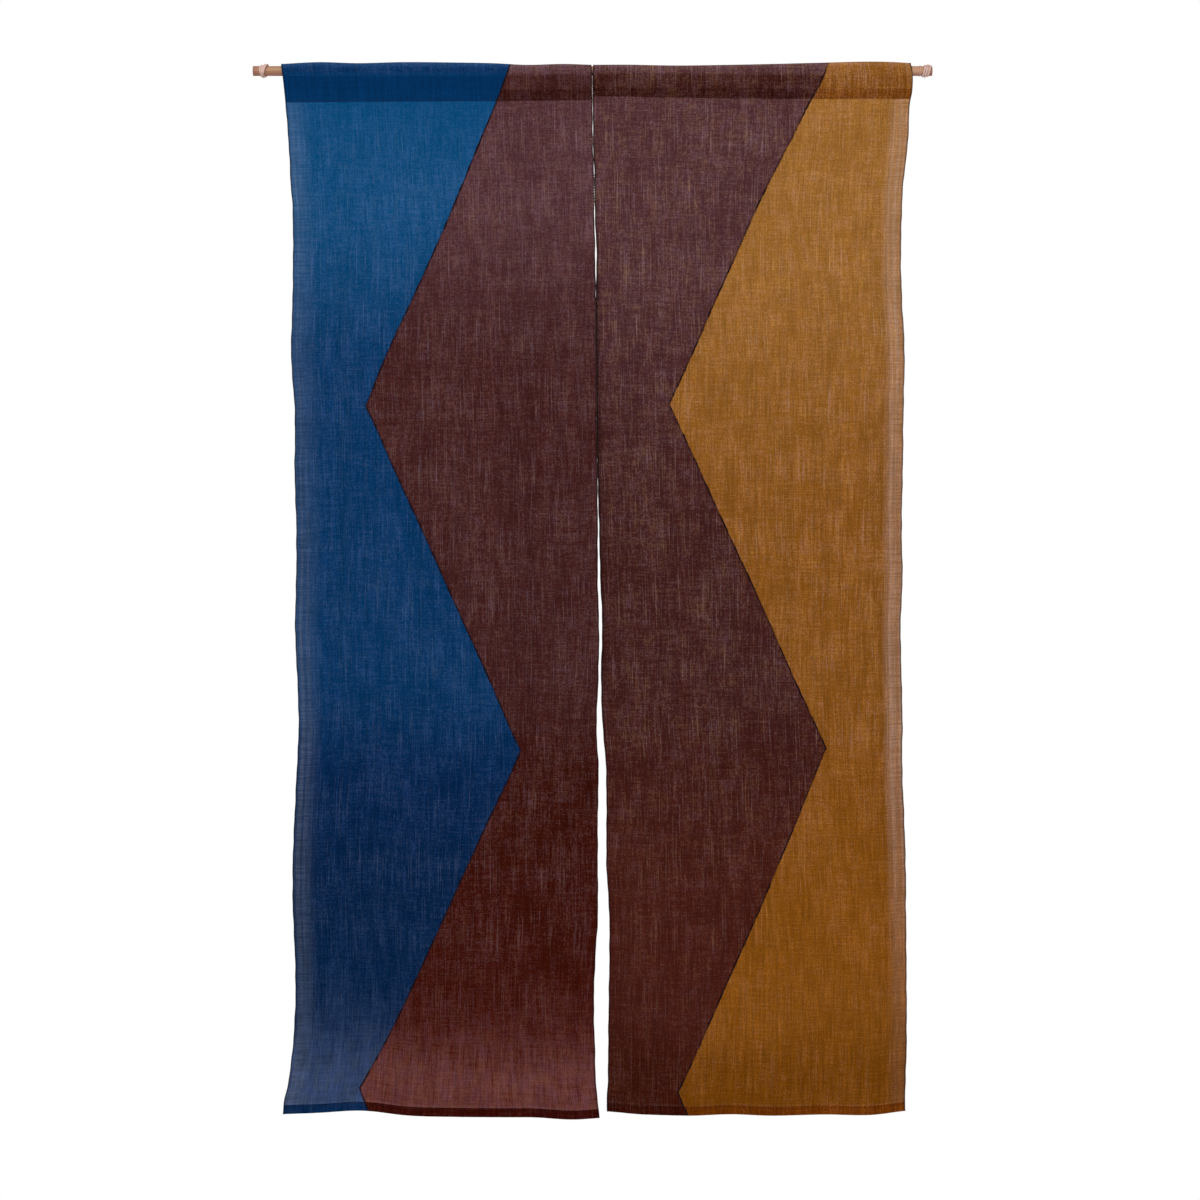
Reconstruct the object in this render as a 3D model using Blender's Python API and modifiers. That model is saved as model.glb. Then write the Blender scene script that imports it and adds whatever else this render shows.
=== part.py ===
# Noren curtain on rod
#
# Two loom-width hemp panels hang side by side on a round wooden rod. Each panel's top is turned to
# the back and stitched down as a sleeve round the rod, and its foot is turned up as a narrow hem.
# A rubber band is wound round the rod at each end, outside the cloth.
#
# Metres, +Z up. The origin is the middle of the rod's axis, X runs along the rod, and the front of
# the cloth faces -Y. A panel is made flat, sewn and true, and is then hung: its edges, its hem and
# its folds take the uneven shape that the tables below give in millimetres.

import math
from collections import namedtuple

import bmesh
import bpy

MM = 0.001

# Rod
ROD_LENGTH = 970 * MM
ROD_RADIUS = 7 * MM
ROD_SIDES = 32
ROD_END_BEVEL = 0.8 * MM

# Cloth
CLOTH = 1.2 * MM  # one layer
HEM_CLOTH = 2.1 * MM  # two layers pressed flat
SLEEVE_SLACK = 0.5 * MM  # between the rod and the cloth over it
SLEEVE_ARC_STEPS = 8  # facets over the top of the rod
SLEEVE_DROPS = (9 * MM, 20 * MM, 31 * MM)  # levels between the rod's axis and the seam
SEAM_DEPTH = 40 * MM  # from the rod's axis to the stitch line, before it is hung
SEAM_ROUND = 2 * MM  # height of the pressed corner inside the sleeve, above the stitch line
SEAM_STEP = 3 * MM  # height over which the two layers become one, below the stitch line
HEM_DEPTH = 13 * MM
HEM_STEP = 1 * MM  # height over which the hem's second layer ends
PANEL_DROP = 1490 * MM  # from the rod's axis to the foot, before it is hung
PANEL_COLUMNS = 20

# Bands
BAND_BORE = ROD_RADIUS + 0.3 * MM
BAND_SIDES = 24

Side = namedtuple("Side", "drop left_outer left_slit right_slit right_outer left_fold right_fold")
Edge = namedtuple("Edge", "across top seam foot")
Crest = namedtuple("Crest", "across depth")
Level = namedtuple("Level", "drop front back")
Panel = namedtuple("Panel", "name outer slit fold edges crests")
Crown = namedtuple("Crown", "across up")
Band = namedtuple("Band", "name centre turns turn_width height slant")

# The four side edges at each level below the rod's axis, and how deep the folds are there
SIDES = (
    Side(-13, -445.0, -2.3, 1.6, 452.6, 0.0, 0.0),
    Side(8, -441.8, -0.9, 0.6, 456.3, 0.0, 0.0),
    Side(28, -439.6, -0.7, 0.9, 456.0, 0.1, 0.1),
    Side(50, -437.6, -0.7, 1.9, 452.6, 0.2, 0.2),
    Side(100, -433.8, -0.6, 0.9, 450.5, 0.8, 0.8),
    Side(145, -431.7, 0.3, 3.2, 445.2, 1.4, 1.4),
    Side(190, -428.0, 1.4, 3.2, 440.7, 2.0, 2.0),
    Side(270, -428.0, 1.7, 5.6, 439.2, 2.8, 3.0),
    Side(320, -428.2, 4.2, 3.4, 441.0, 3.4, 3.6),
    Side(400, -430.8, 5.0, 2.4, 444.6, 4.0, 4.4),
    Side(485, -425.3, 5.0, 2.8, 442.4, 4.4, 5.0),
    Side(570, -425.0, 5.8, 5.2, 441.2, 4.6, 5.2),
    Side(655, -422.4, 7.6, 11.6, 441.0, 4.8, 5.4),
    Side(730, -423.2, 6.6, 12.6, 441.6, 4.8, 5.6),
    Side(790, -424.6, 8.2, 13.6, 439.2, 4.8, 6.0),
    Side(870, -420.8, 8.4, 13.2, 440.6, 4.8, 6.4),
    Side(935, -419.2, 4.6, 15.6, 441.8, 4.8, 6.8),
    Side(990, -422.0, 6.8, 19.6, 441.8, 4.8, 7.0),
    Side(1060, -425.2, 6.9, 20.4, 444.2, 4.8, 7.4),
    Side(1140, -428.6, 6.2, 21.4, 446.4, 4.8, 7.8),
    Side(1205, -428.0, 7.0, 25.6, 447.6, 4.6, 8.0),
    Side(1260, -425.0, 3.0, 25.0, 447.6, 4.4, 8.0),
    Side(1330, -424.0, 1.3, 24.8, 447.6, 4.0, 7.8),
    Side(1400, -429.4, 2.7, 24.2, 446.4, 3.6, 7.4),
    Side(1445, -436.6, 4.6, 23.2, 445.6, 3.0, 7.0),
    Side(1476, -441.6, 8.8, 21.8, 445.2, 2.6, 6.6),
    Side(1490, -442.4, 9.5, 21.2, 446.2, 2.4, 6.4),
)

# The sleeve's top, the stitch line and the foot at places across each panel, outer edge to slit.
# top is above the rod's axis, seam and foot are below it.
LEFT_EDGES = (
    Edge(0.00, 10.0, 44.3, 1490.0),
    Edge(0.12, 12.9, 44.0, 1487.0),
    Edge(0.24, 11.4, 43.6, 1484.5),
    Edge(0.39, 12.9, 43.0, 1491.5),
    Edge(0.55, 11.4, 42.6, 1493.0),
    Edge(0.70, 10.2, 42.2, 1494.0),
    Edge(0.78, 8.8, 42.0, 1494.6),
    Edge(0.92, 10.0, 41.6, 1496.8),
    Edge(1.00, 8.8, 41.4, 1494.6),
)
RIGHT_EDGES = (
    Edge(0.00, 11.4, 40.0, 1485.8),
    Edge(0.06, 12.9, 40.0, 1488.6),
    Edge(0.30, 11.6, 40.0, 1490.0),
    Edge(0.42, 10.2, 39.6, 1491.4),
    Edge(0.58, 8.8, 39.0, 1490.0),
    Edge(0.75, 8.8, 38.0, 1491.4),
    Edge(0.90, 10.0, 36.6, 1488.6),
    Edge(1.00, 8.8, 35.8, 1485.8),
)

# Folds across each panel, outer edge to slit: 1 is full depth to the back, -1 to the front
LEFT_CRESTS = (
    Crest(0.00, 0.9),
    Crest(0.09, -0.5),
    Crest(0.24, 0.7),
    Crest(0.37, -0.8),
    Crest(0.50, 0.5),
    Crest(0.66, -0.6),
    Crest(0.82, 0.8),
    Crest(1.00, -1.0),
)
RIGHT_CRESTS = (
    Crest(0.00, 1.0),
    Crest(0.11, -0.7),
    Crest(0.23, 0.5),
    Crest(0.40, -0.9),
    Crest(0.54, 0.8),
    Crest(0.69, -0.5),
    Crest(0.85, -0.2),
    Crest(1.00, 1.0),
)
FOLD_LEAN = 0.05  # share of the width by which the folds drift towards the slit, top to foot
SHARP_ANGLE = math.radians(35)  # a crease sharper than this is shaded as an edge

PANELS = (
    Panel("panel_left", "left_outer", "left_slit", "left_fold", LEFT_EDGES, LEFT_CRESTS),
    Panel("panel_right", "right_outer", "right_slit", "right_fold", RIGHT_EDGES, RIGHT_CRESTS),
)

# One turn of a band, as shares of its width and of its height
BAND_CROWN = (
    Crown(0.10, 0.70),
    Crown(0.30, 1.00),
    Crown(0.70, 1.00),
    Crown(0.90, 0.70),
)

# The rubber bands, in millimetres. slant is how far the winding leans to the right at its top
BANDS = (
    Band("stopper_left", -470.4, 3, 3.8, 2.7, 0.8),
    Band("stopper_right", 476.6, 3, 3.7, 2.2, -0.5),
)

# Colour, roughness
WOOD = ((0.48, 0.27, 0.12), 0.5)
HEMP = ((0.10, 0.04, 0.035), 0.9)
RUBBER = ((0.80, 0.66, 0.58), 0.45)


def clear_scene():
    for old in list(bpy.data.objects):
        bpy.data.objects.remove(old, do_unlink=True)


def make_collection(name):
    group = bpy.data.collections.new(name)
    bpy.context.scene.collection.children.link(group)
    return group


def make_material(name, look):
    colour, roughness = look
    material = bpy.data.materials.new(name)
    material.use_nodes = True
    shader = material.node_tree.nodes["Principled BSDF"]
    shader.inputs["Base Color"].default_value = (*colour, 1)
    shader.inputs["Roughness"].default_value = roughness
    shader.inputs["Metallic"].default_value = 0
    material.diffuse_color = (*colour, 1)
    return material


def add_object(name, bm, look, group):
    """The object that a finished bmesh makes, with a material of its own."""
    mesh = bpy.data.meshes.new(name)
    bm.to_mesh(mesh)
    bm.free()
    mesh.shade_smooth()
    mesh.set_sharp_from_angle(angle=SHARP_ANGLE)
    mesh.materials.append(make_material(name, look))
    thing = bpy.data.objects.new(name, mesh)
    group.objects.link(thing)
    return thing


def along(rows, key, value, place):
    """The column `value` of a table at `place` in its column `key`, on straight lines between rows."""
    if place <= getattr(rows[0], key):
        return getattr(rows[0], value)
    for low, high in zip(rows, rows[1:]):
        start, end = getattr(low, key), getattr(high, key)
        if place <= end:
            share = (place - start) / (end - start)
            return getattr(low, value) * (1 - share) + getattr(high, value) * share
    return getattr(rows[-1], value)


def fold_wave(crests, across):
    """Between crests the cloth swings over as half a cosine."""
    across = min(max(across, 0), 1)
    for low, high in zip(crests, crests[1:]):
        if across <= high.across:
            share = (across - low.across) / (high.across - low.across)
            swing = (1 - math.cos(math.pi * share)) / 2
            return low.depth * (1 - swing) + high.depth * swing
    return crests[-1].depth


def make_rod(group):
    """A round rod whose facets stand level, so that one of them faces straight down."""
    bm = bmesh.new()
    bmesh.ops.create_cone(
        bm, cap_ends=True, segments=ROD_SIDES, radius1=ROD_RADIUS, radius2=ROD_RADIUS, depth=ROD_LENGTH
    )
    rod = add_object("rod", bm, WOOD, group)
    rod.rotation_mode = "ZYX"
    rod.rotation_euler = (math.pi / ROD_SIDES, math.pi / 2, 0)
    bevel = rod.modifiers.new("broken edges", "BEVEL")
    bevel.width = ROD_END_BEVEL
    bevel.segments = 2
    bevel.limit_method = "ANGLE"
    bevel.angle_limit = math.radians(60)


def sleeve_points():
    """Middle line of the sleeve, from the stitch line up the front, over the rod and down the back."""
    half = ROD_RADIUS + SLEEVE_SLACK + CLOTH / 2
    front = [(-half * (1 - drop / SEAM_DEPTH), -drop) for drop in reversed(SLEEVE_DROPS)]
    over = []
    for step in range(SLEEVE_ARC_STEPS + 1):
        turn = math.pi * step / SLEEVE_ARC_STEPS
        over.append((-half * math.cos(turn), half * math.sin(turn)))
    back = [(-y, z) for y, z in reversed(front)]
    return front + over + back


def offset_line(points, distance):
    """The same line moved sideways by `distance`, to the left of its run."""
    moved = []
    for index, (y, z) in enumerate(points):
        before = points[max(index - 1, 0)]
        after = points[min(index + 1, len(points) - 1)]
        run_y, run_z = after[0] - before[0], after[1] - before[1]
        length = math.hypot(run_y, run_z)
        moved.append((y - run_z / length * distance, z + run_y / length * distance))
    return moved


def sheet_levels():
    """The hanging sheet's front and back at each level below the rod's axis, foot first."""
    front, back = -CLOTH / 2, CLOTH / 2
    hem_back = front + HEM_CLOTH
    hem_top = PANEL_DROP - HEM_DEPTH
    levels = [Level(PANEL_DROP, front, hem_back), Level(hem_top + HEM_STEP, front, hem_back)]
    levels.append(Level(hem_top, front, back))
    for row in reversed(SIDES):
        if SEAM_DEPTH + HEM_DEPTH < row.drop * MM < hem_top - HEM_DEPTH:
            levels.append(Level(row.drop * MM, front, back))
    levels.append(Level(SEAM_DEPTH + SEAM_STEP, front, back))
    levels.append(Level(SEAM_DEPTH, -CLOTH, CLOTH))
    return levels


def add_section(bm):
    """Faces of the panel's cross-section at x = 0: the hanging sheet, then the ring of the sleeve."""
    levels = sheet_levels()
    fronts = [bm.verts.new((0, level.front, -level.drop)) for level in levels]
    backs = [bm.verts.new((0, level.back, -level.drop)) for level in levels]
    outer = [bm.verts.new((0, y, z)) for y, z in offset_line(sleeve_points(), CLOTH / 2)]
    inner = [bm.verts.new((0, y, z)) for y, z in offset_line(sleeve_points(), -CLOTH / 2)]
    corner = bm.verts.new((0, 0, SEAM_ROUND - SEAM_DEPTH))
    outer = [fronts[-1], *outer, backs[-1]]
    inner = [corner, *inner, corner]
    faces = [bm.faces.new((fronts[-1], corner, backs[-1]))]
    for rim, lining in ((fronts, backs), (outer, inner)):
        for step in range(len(rim) - 1):
            corners = (rim[step], rim[step + 1], lining[step + 1], lining[step])
            faces.append(bm.faces.new(tuple(dict.fromkeys(corners))))
    return faces


def hang(panel, point):
    """Where a point of the flat panel lies once it hangs. Its x is the share of the width."""
    across, y, drop = point.x, point.y, -point.z
    top = along(panel.edges, "across", "top", across) * MM
    seam = along(panel.edges, "across", "seam", across) * MM
    foot = along(panel.edges, "across", "foot", across) * MM
    flat_top = ROD_RADIUS + SLEEVE_SLACK + CLOTH
    if drop < 0:
        hung = drop * top / flat_top
    elif drop < SEAM_DEPTH:
        hung = drop * seam / SEAM_DEPTH
    else:
        hung = seam + (drop - SEAM_DEPTH) * (foot - seam) / (PANEL_DROP - SEAM_DEPTH)
    level = drop / MM
    outer = along(SIDES, "drop", panel.outer, level) * MM
    slit = along(SIDES, "drop", panel.slit, level) * MM
    deep = along(SIDES, "drop", panel.fold, level) * MM
    drift = FOLD_LEAN * drop / PANEL_DROP * math.sin(math.pi * across)
    depth = deep * fold_wave(panel.crests, across - drift)
    return outer + (slit - outer) * across, y + depth, -hung


def make_panel(panel, group):
    """A sewn panel, drawn out of its section column by column and then hung."""
    bm = bmesh.new()
    region = add_section(bm)
    for column in range(PANEL_COLUMNS):
        grown = bmesh.ops.extrude_face_region(bm, geom=region, use_keep_orig=column == 0)
        moved = [item for item in grown["geom"] if isinstance(item, bmesh.types.BMVert)]
        bmesh.ops.translate(bm, verts=moved, vec=(1 / PANEL_COLUMNS, 0, 0))
        if column:
            bmesh.ops.delete(bm, geom=region, context="FACES")
        region = [item for item in grown["geom"] if isinstance(item, bmesh.types.BMFace)]
    for vert in bm.verts:
        vert.co = hang(panel, vert.co.copy())
    bmesh.ops.recalc_face_normals(bm, faces=bm.faces)
    if bm.calc_volume(signed=True) < 0:
        bmesh.ops.reverse_faces(bm, faces=bm.faces)
    add_object(panel.name, bm, HEMP, group)


def make_band(band, group):
    """A wound band: a flat-topped ridge for each turn, swept round the rod and leant over."""
    half = band.turns * band.turn_width / 2
    bm = bmesh.new()
    rim = [bm.verts.new((-half * MM, BAND_BORE, 0))]
    for turn in range(band.turns):
        for crown in BAND_CROWN:
            place = -half + (turn + crown.across) * band.turn_width
            rim.append(bm.verts.new((place * MM, BAND_BORE + crown.up * band.height * MM, 0)))
    rim.append(bm.verts.new((half * MM, BAND_BORE, 0)))
    edges = [bm.edges.new((rim[index - 1], rim[index])) for index in range(len(rim))]
    bmesh.ops.spin(
        bm, geom=rim + edges, axis=(1, 0, 0), angle=2 * math.pi, steps=BAND_SIDES, use_merge=True
    )
    for vert in bm.verts:
        vert.co.x += band.slant * MM * vert.co.z / ROD_RADIUS
    bmesh.ops.recalc_face_normals(bm, faces=bm.faces)
    thing = add_object(band.name, bm, RUBBER, group)
    thing.location.x = band.centre * MM


def main():
    clear_scene()
    group = make_collection("noren_curtain")
    make_rod(group)
    for panel in PANELS:
        make_panel(panel, group)
    for band in BANDS:
        make_band(band, group)


main()
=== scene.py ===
# Noren curtain on rod: the finished look
#
# Two loom-width hemp panels hang side by side on a round wooden rod. Each panel is one length of sheer
# plain-woven cloth: its head is turned to the back and stitched down as a sleeve round the rod, its
# foot is turned up twice as a narrow hem, and its sides are selvedges. Hand stitches join the panels
# over the top of the slit. A rubber band is wound round the rod at each end.
#
# Metres, +Z up. The origin is the middle of the rod's axis, X runs along the rod, and the front of
# the cloth faces -Y. A panel is made flat, sewn and true, and is then hung: its edges, its foot and
# its folds take the uneven shape that the tables below give in millimetres.

import math
import random
from collections import namedtuple

import bmesh
import bpy
import numpy as np
from bpy.props import FloatProperty, FloatVectorProperty, PointerProperty
from mathutils import Matrix, Vector


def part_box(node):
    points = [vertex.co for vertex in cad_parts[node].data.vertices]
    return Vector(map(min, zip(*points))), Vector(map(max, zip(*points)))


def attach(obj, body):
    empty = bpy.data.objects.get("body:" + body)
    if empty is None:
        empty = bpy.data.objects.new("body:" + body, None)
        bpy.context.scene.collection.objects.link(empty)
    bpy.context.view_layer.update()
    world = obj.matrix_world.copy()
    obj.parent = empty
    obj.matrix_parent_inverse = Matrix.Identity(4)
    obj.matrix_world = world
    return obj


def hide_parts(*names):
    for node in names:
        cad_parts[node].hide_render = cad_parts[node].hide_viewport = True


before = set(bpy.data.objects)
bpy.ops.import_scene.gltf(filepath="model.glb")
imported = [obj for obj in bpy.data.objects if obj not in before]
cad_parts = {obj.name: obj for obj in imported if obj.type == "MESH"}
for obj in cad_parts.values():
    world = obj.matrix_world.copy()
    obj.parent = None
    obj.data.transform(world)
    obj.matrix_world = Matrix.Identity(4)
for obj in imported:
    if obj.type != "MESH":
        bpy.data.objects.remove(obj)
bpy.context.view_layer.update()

bl_info = {
    "name": "Noren Curtain",
    "version": (1, 0, 0),
    "blender": (4, 5, 0),
    "location": "3D View > Sidebar > Noren",
    "description": "Makes the cloth, sewing, rod and bands of a split doorway curtain",
    "category": "Object",
}

MM = 0.001
BODY = "root"
CLOTH_MAP = "cloth"

Side = namedtuple("Side", "drop left_outer left_slit right_slit right_outer left_fold right_fold")
Edge = namedtuple("Edge", "across top seam foot")
Crest = namedtuple("Crest", "across depth")
Crease = namedtuple("Crease", "panel drop slant start end depth width")
Panel = namedtuple("Panel", "name outer slit fold edges crests slot phase")
Marks = namedtuple("Marks", "seam hem")
# A dye: deep is its colour and low its colour near the foot; glow is painted light through one layer, and
# tint colours the painted daylight haze; head, sleeve and crown change the painted light just below the
# sleeve, in it and over the rod; foot scales the dye at the foot as painted light and shade; veil is the
# painted pale foot, and third the painted shade where three layers lie
Dye = namedtuple("Dye", "deep low glow tint head sleeve crown foot veil third")
# Tints of the painted daylight haze
Daylight = namedtuple("Daylight", "warm cool")
Selvedge = namedtuple("Selvedge", "left solid gone share at_foot bare")
# How the painted light through the cloth falls off down it, and how uneven its haze is
LightFalloff = namedtuple("LightFalloff", "top middle at_foot clear uneven")
Grain = namedtuple("Grain", "width height place detail roughness")
Creep = namedtuple("Creep", "width height detail reach")
Layers = namedtuple("Layers", "over_rod summit under_sleeve sleeve hem single doubled tripled")
# A panel's tone, and its painted light and daylight haze
LightAndTone = namedtuple("LightAndTone", "tone low light steady fresh loose crest near_foot foot_haze hem_rim air")
Yarn = namedtuple("Yarn", "name colour paler")
Sewing = namedtuple("Sewing", "pitch length radius out")
Stretch = namedtuple("Stretch", "top bottom pitch")
Winding = namedtuple("Winding", "node start pitch turns radius width thick lean sway turned")
Lamp = namedtuple("Lamp", "name place size power")

# The four side edges at each level below the rod's axis, and how deep the folds are there
SIDES = (
    Side(-13, -445.0, -2.6, 2.0, 452.6, 0.0, 0.0),
    Side(8, -441.8, -1.05, 0.3, 456.3, 0.0, 0.0),
    Side(28, -439.6, -0.95, 0.2, 456.0, 0.1, 0.1),
    Side(50, -437.6, -0.5, 0.5, 452.6, 0.2, 0.2),
    Side(76, -435.6, -0.5, 0.85, 451.4, 0.5, 0.5),
    Side(100, -433.8, 0.05, 0.9, 450.5, 0.8, 0.8),
    Side(124, -432.6, 0.65, 1.6, 447.9, 1.1, 1.1),
    Side(145, -431.7, 1.7, 2.7, 445.2, 1.4, 1.4),
    Side(190, -428.6, 1.8, 3.1, 442.0, 2.0, 2.0),
    Side(230, -427.8, 2.8, 4.6, 441.0, 2.4, 2.5),
    Side(270, -428.0, 3.5, 6.2, 440.4, 2.8, 3.0),
    Side(320, -428.6, 4.2, 4.9, 441.8, 3.4, 3.6),
    Side(400, -430.8, 5.0, 5.4, 445.8, 4.0, 4.4),
    Side(485, -425.5, 5.4, 5.8, 444.4, 4.4, 5.0),
    Side(570, -425.8, 6.6, 7.2, 443.4, 4.6, 5.2),
    Side(655, -423.3, 7.2, 9.6, 441.8, 4.8, 5.4),
    Side(730, -423.8, 7.2, 11.4, 443.0, 4.8, 5.6),
    Side(790, -425.2, 9.0, 14.0, 440.4, 4.8, 6.0),
    Side(870, -421.8, 7.8, 12.4, 441.8, 4.8, 6.4),
    Side(935, -420.0, 5.4, 14.4, 443.2, 4.8, 6.8),
    Side(990, -422.4, 8.2, 19.0, 442.6, 4.8, 7.0),
    Side(1060, -425.8, 7.2, 20.2, 445.2, 4.8, 7.4),
    Side(1140, -428.7, 7.2, 20.2, 447.9, 4.8, 7.8),
    Side(1205, -428.0, 7.2, 24.0, 448.3, 4.6, 8.0),
    Side(1260, -425.4, 3.8, 24.4, 448.8, 4.4, 8.0),
    Side(1330, -424.7, 1.6, 23.4, 449.2, 4.0, 7.8),
    Side(1400, -429.0, 3.4, 22.6, 449.0, 3.6, 7.4),
    Side(1445, -434.8, 4.8, 22.2, 447.6, 3.0, 7.0),
    Side(1476, -441.2, 8.4, 20.6, 446.8, 2.6, 6.6),
    Side(1490, -442.4, 9.5, 21.2, 447.4, 2.4, 6.4),
)

# The sleeve's top, the stitch line and the foot at places across each panel, outer edge to slit.
# top is above the rod's axis, seam and foot are below it.
LEFT_EDGES = (
    Edge(0.00, 10.0, 45.1, 1490.8),
    Edge(0.12, 12.7, 44.8, 1488.0),
    Edge(0.24, 11.2, 44.4, 1485.5),
    Edge(0.39, 12.7, 44.0, 1491.8),
    Edge(0.55, 12.2, 43.6, 1494.5),
    Edge(0.70, 10.8, 43.2, 1494.5),
    Edge(0.78, 8.8, 43.0, 1494.9),
    Edge(0.92, 10.0, 42.2, 1498.0),
    Edge(1.00, 8.8, 41.8, 1495.3),
)
RIGHT_EDGES = (
    Edge(0.00, 11.4, 40.0, 1486.8),
    Edge(0.06, 12.9, 40.0, 1489.2),
    Edge(0.30, 11.6, 40.0, 1491.4),
    Edge(0.42, 10.2, 39.6, 1491.4),
    Edge(0.58, 8.7, 39.0, 1491.4),
    Edge(0.75, 7.8, 38.0, 1491.8),
    Edge(0.90, 9.0, 36.6, 1490.2),
    Edge(1.00, 8.8, 35.8, 1487.6),
)

# Folds across each panel, outer edge to slit: 1 is full depth to the back, -1 to the front
LEFT_CRESTS = (
    Crest(0.00, 0.9),
    Crest(0.09, -0.5),
    Crest(0.24, 0.7),
    Crest(0.37, -0.8),
    Crest(0.50, 0.5),
    Crest(0.66, -0.6),
    Crest(0.82, 0.8),
    Crest(1.00, -1.0),
)
RIGHT_CRESTS = (
    Crest(0.00, 1.0),
    Crest(0.11, -0.7),
    Crest(0.23, 0.5),
    Crest(0.40, -0.9),
    Crest(0.54, 0.8),
    Crest(0.69, -0.5),
    Crest(0.85, -0.2),
    Crest(1.00, 1.0),
)
FOLD_LEAN = 0.05  # share of the width by which the folds drift towards the slit, top to foot

# The small unevenness of the hung cloth
FREE_BELOW = 80 * MM  # drop at which the selvedges ripple in full
RIPPLE_REACH = 16 * MM  # how far in from a selvedge they ripple
OUTER_RIPPLE = 0.45 * MM
SLIT_RIPPLE = 0.25 * MM
EDGE_WANDER = 0.22 * MM
SEAM_PUCKER = 0.4 * MM
HEM_PUCKER = 0.35 * MM

# Soft creases left by folding the cloth away, in millimetres. A positive depth is a trough. start and
# end are shares of the width from the outer edge, slant is the drop gained from start to end.
CREASES = (
    Crease("panel_left", 402, 10, 0.00, 1.00, 1.6, 17),
    Crease("panel_left", 760, -14, 0.10, 0.95, 0.9, 22),
    Crease("panel_left", 1118, 8, 0.00, 0.90, 1.0, 20),
    Crease("panel_left", 1332, -10, 0.05, 1.00, -1.2, 30),
    Crease("panel_right", 396, -8, 0.55, 1.00, 1.2, 17),
    Crease("panel_right", 748, 12, 0.00, 0.90, 0.9, 22),
    Crease("panel_right", 1104, -6, 0.10, 1.00, 1.1, 20),
    Crease("panel_right", 1376, 8, 0.10, 0.85, -0.9, 26),
)

PANELS = (
    Panel("panel_left", "left_outer", "left_slit", "left_fold", LEFT_EDGES, LEFT_CRESTS, "cloth_left", 0.0),
    Panel(
        "panel_right", "right_outer", "right_slit", "right_fold",
        RIGHT_EDGES, RIGHT_CRESTS, "cloth_right", 1.7,
    ),
)
COLUMNS = 126  # faces across a panel

# Where hand stitches cross the slit, in millimetres below the rod's axis
SLIT_STITCHES = (
    Stretch(1, 36, 3.1),
    Stretch(95, 107, 3.4),
    Stretch(149, 188, 3.6),
)
ROW_STITCH = Sewing(pitch=7.2 * MM, length=3.6 * MM, radius=0.2 * MM, out=0.28 * MM)
SLIT_THREAD_RADIUS = 0.26 * MM

# Unevenness of the hemp and its dyes. width and height are those of a blot, in millimetres, and place
# moves it to its own part of the noise.
GRAINS = {
    "slub": Grain(1.8, 42, 1, 3, 0.6),
    "thread": Grain(1.5, 95, 2, 2, 0.5),
    "weft": Grain(44, 1.8, 3, 3, 0.6),
    "speck": Grain(2.1, 2.5, 4, 1, 0.5),
    "tall_patch": Grain(14, 60, 5, 3, 0.6),
    "wide_patch": Grain(60, 16, 6, 3, 0.6),
    "cloud": Grain(90, 130, 7, 4, 0.6),
    "spot": Grain(5, 6, 8, 3, 0.6),
    "band": Grain(5, 1200, 10, 2, 0.5),
    "worn_highlight": Grain(8, 2.0, 11, 2, 0.5),
    "warmth": Grain(13, 21, 12, 3, 0.5),
}

# What each unevenness adds: to the painted daylight let through, to the dye's depth, to the painted pale
# foot and to the relief of the yarns
OPEN_PARTS = (
    ("slub", 0.85), ("weft", 0.65), ("speck", 1.00), ("spot", 0.90),
    ("tall_patch", 0.60), ("wide_patch", 0.45), ("cloud", 0.45),
)
TONE_PARTS = (
    ("slub", 0.26), ("weft", 0.16), ("speck", 0.19), ("band", 0.12), ("tall_patch", 0.12), ("cloud", 0.08),
)
FOOT_PARTS = (("weft", 0.12), ("slub", 0.22), ("tall_patch", 0.18))
RELIEF_PARTS = (("slub", 0.5), ("weft", 0.5), ("spot", 0.2))

# How the dye crept over the zigzag's edge, in millimetres
DYE_CREEP = (Creep(7, 9, 3, 2.4), Creep(1.1, 1.6, 1, 1.6))
OVERLAP_LINE = (0.010, 0.004, 0.006)

# Stretches down the cloth, in metres from the rod's top, over which a look changes, among them the painted
# light, haze and pale foot
BELOW_SLEEVE = (0.045, 0.170)
LIGHT_DIMS = (0.86, 1.04)
LIGHT_ENDS = (1.36, 1.45)
DYE_LOW = (0.85, 1.25)
HAZE_ENDS = 1.40
FOOT_STARTS = (1.27, 1.40)
FOOT_PALES = (1.355, 1.465)
SELVEDGE_DIMS = (0.90, 1.46)

# Yarns of the selvedges and the sewing
BROWN_YARN = Yarn("yarn_brown", (0.022, 0.008, 0.007), (0.050, 0.022, 0.020))
BLUE_YARN = Yarn("yarn_blue", (0.008, 0.018, 0.045), (0.022, 0.044, 0.09))
TAN_YARN = Yarn("yarn_tan", (0.075, 0.028, 0.016), (0.19, 0.09, 0.055))
SEWING_THREAD = Yarn("sewing_thread", (0.016, 0.006, 0.006), (0.055, 0.026, 0.024))
SLIT_THREAD = Yarn("slit_thread", (0.14, 0.062, 0.058), (0.62, 0.42, 0.40))

WOOD_BLUSH = (0.56, 0.27, 0.19)
# Painted shade on the rod's underside
WOOD_UNDERSIDE_SHADE = (0.34, 0.135, 0.10)
WOOD_END = (0.30, 0.115, 0.085)
DUSTY_RUBBER = (0.58, 0.36, 0.30)

# The turns of the rubber bands, in millimetres. lean is how far right a turn lies at its top, and sway
# how far left it lies at its front.
WINDINGS = (
    Winding("stopper_left", -473.2, 2.5, 2.9, 8.0, 2.6, 1.5, 0.3, 3.0, 150),
    Winding("stopper_left", -469.8, 2.0, 1.7, 9.2, 2.8, 1.4, 2.4, 1.9, 250),
    Winding("stopper_right", 471.8, 3.3, 2.85, 8.0, 3.3, 1.6, 2.6, -0.4, 270),
    Winding("stopper_right", 475.4, 2.4, 1.05, 9.1, 2.6, 1.2, 2.9, 0.2, 250),
    Winding("stopper_right", 466.9, 0.6, 1.2, 7.6, 0.9, 0.9, 0.5, 0.0, 200),
)
STRIP_SIDES = 12
STEPS_A_TURN = 26

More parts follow.
